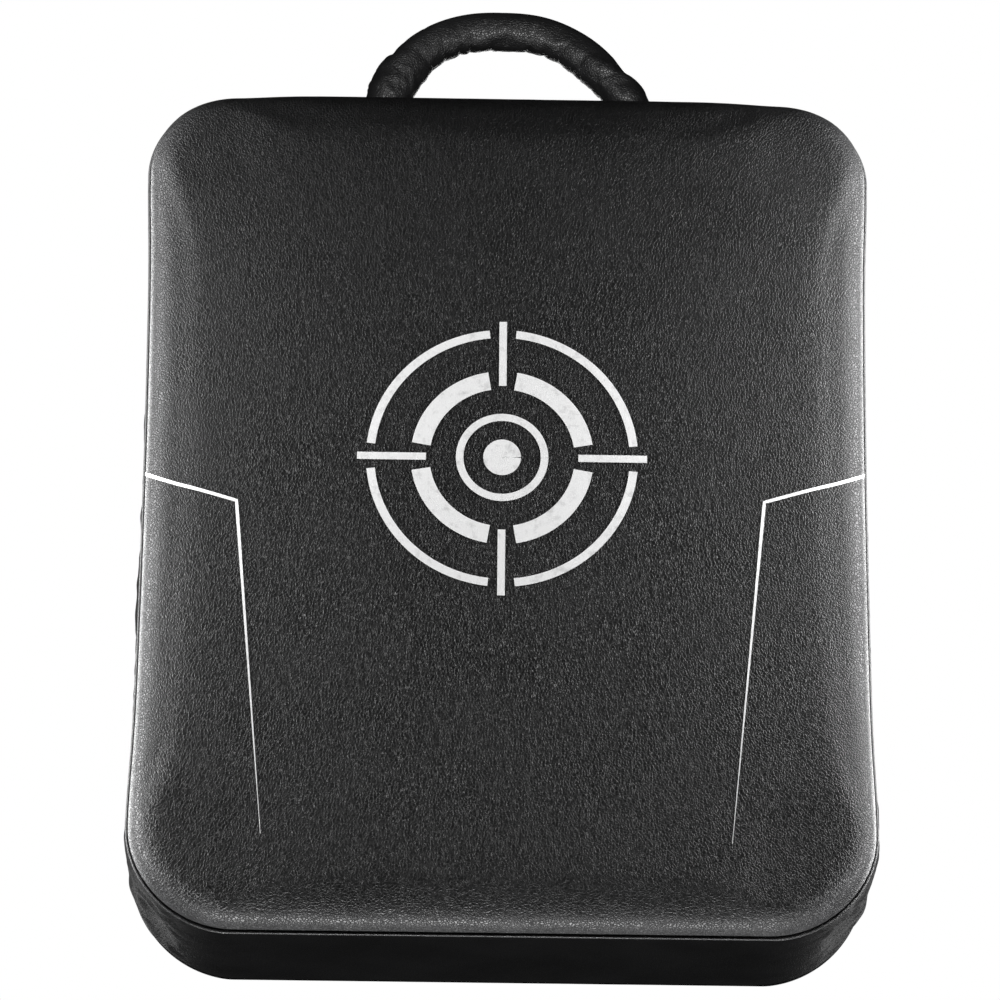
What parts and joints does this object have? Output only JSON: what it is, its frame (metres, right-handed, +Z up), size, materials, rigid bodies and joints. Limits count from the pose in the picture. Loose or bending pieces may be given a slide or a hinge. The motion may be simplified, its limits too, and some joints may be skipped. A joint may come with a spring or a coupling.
{
  "type": "kick shield",
  "caption": "Large padded kick shield with a faux-leather cover, a carry handle on top, and hand grips and forearm loops on the back.",
  "frame": {"origin": "centre of the flat bottom that the shield stands on", "axes": "+Z up, the strike face looks towards -Y, +X to the right as the strike face is seen"},
  "size_m": [0.508, 0.2497, 0.6904],
  "materials": {
    "cover": "pebble-grained black faux leather, satin",
    "piping": "smooth black faux leather, satin",
    "lining": "black woven polyester",
    "webbing": "black nylon webbing",
    "dense_foam": "dark closed-cell foam",
    "soft_foam": "pale open-cell foam",
    "plastic": "black zip coil",
    "rubber": "black moulded pull",
    "metal": "blackened metal"
  },
  "bodies": {
    "shield": {"front_panel": "cover", "back_panel": "cover", "gusset_upper": "cover", "gusset_lower": "cover", "front_piping": "piping", "back_piping": "piping", "strike_foam": "dense_foam", "backing_foam": "dense_foam", "core_foam": "soft_foam", "zip_tape_upper": "webbing", "zip_teeth_upper": "plastic", "back_anchor_upper": "webbing", "zip_tape_lower": "webbing", "zip_teeth_lower": "plastic", "back_anchor_lower": "webbing", "zip_stop_left": "metal", "zip_stop_right": "metal", "top_handle_tab_left": "cover", "top_handle_tab_right": "cover", "top_handle_anchor": "webbing", "grip_left_tab_upper": "cover", "forearm_loop_left_patch_upper": "cover", "grip_left_tab_lower": "cover", "forearm_loop_left_patch_lower": "cover", "forearm_loop_left_lining": "lining", "forearm_loop_left_pad": "soft_foam", "forearm_loop_left_face": "cover", "grip_right_tab_upper": "cover", "forearm_loop_right_patch_upper": "cover", "grip_right_tab_lower": "cover", "forearm_loop_right_patch_lower": "cover", "forearm_loop_right_lining": "lining", "forearm_loop_right_pad": "soft_foam", "forearm_loop_right_face": "cover", "vent_eyelet_1": "metal", "vent_washer_1": "metal", "vent_eyelet_2": "metal", "vent_washer_2": "metal", "vent_eyelet_3": "metal", "vent_washer_3": "metal", "vent_eyelet_4": "metal", "vent_washer_4": "metal"},
    "top_handle": {"top_handle_cover": "cover", "top_handle_core": "soft_foam", "top_handle_webbing": "webbing"},
    "grip_left": {"grip_left_cover": "cover", "grip_left_core": "soft_foam", "grip_left_webbing": "webbing"},
    "grip_right": {"grip_right_cover": "cover", "grip_right_core": "soft_foam", "grip_right_webbing": "webbing"},
    "zip_slider": {"zip_slider": "metal"},
    "zip_pull": {"zip_pull": "rubber"}
  },
  "joints": [
    {"name": "top_handle_swing", "type": "hinge", "parent": "shield", "child": "top_handle", "pos_m": [0, -0.02, 0.621], "axis": [1, 0, 0], "range_deg": [-55, 55], "stiffness_Nm_per_rad": 0.8},
    {"name": "grip_left_swing", "type": "hinge", "parent": "shield", "child": "grip_left", "pos_m": [-0.06, 0.091, 0.33], "axis": [0, 0, 1], "range_deg": [-55, 55], "stiffness_Nm_per_rad": 0.8},
    {"name": "grip_right_swing", "type": "hinge", "parent": "shield", "child": "grip_right", "pos_m": [0.06, 0.091, 0.33], "axis": [0, 0, 1], "range_deg": [-55, 55], "stiffness_Nm_per_rad": 0.8},
    {"name": "zip_travel", "type": "slide", "parent": "shield", "child": "zip_slider", "axis": [-1, 0, 0], "range_m": [0, 0.358]},
    {"name": "zip_pull_swing", "type": "hinge", "parent": "zip_slider", "child": "zip_pull", "pos_m": [0.1795, 0.0881, 0.07], "axis": [0, 0, -1], "range_deg": [0, 165]}
  ]
}
